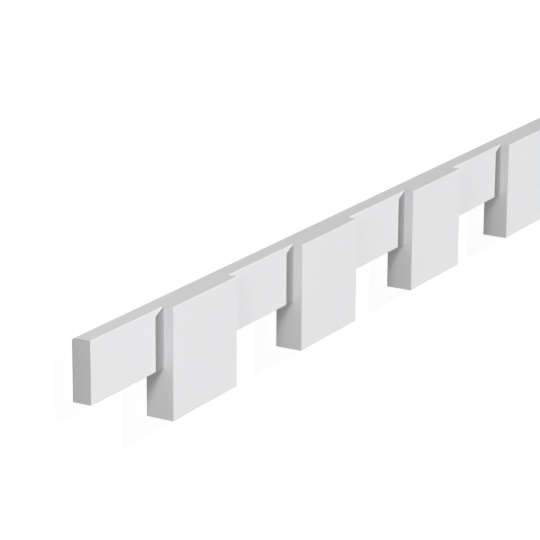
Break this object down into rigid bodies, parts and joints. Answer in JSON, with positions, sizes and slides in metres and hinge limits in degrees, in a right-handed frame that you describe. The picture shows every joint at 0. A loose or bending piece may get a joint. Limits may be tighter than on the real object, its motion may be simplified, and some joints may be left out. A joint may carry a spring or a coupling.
{
  "type": "dentil moulding",
  "caption": "Straight white moulding strip with a thin rail and a row of square dentil blocks that stand proud of it and hang below it, fixed flat to a wall.",
  "frame": {"origin": "on the flat back, at the middle of the overall length and height", "axes": "+X along the length, towards the end without a stub; +Y up the wall that the strip is made for; +Z out of that wall, which is up while the strip lies on its back"},
  "size_m": [2, 0.046, 0.012],
  "materials": {
    "white_primer": "smooth matt white primer over moulded polyurethane"
  },
  "bodies": {
    "root": {"dentil_moulding": "white_primer"}
  },
  "joints": []
}
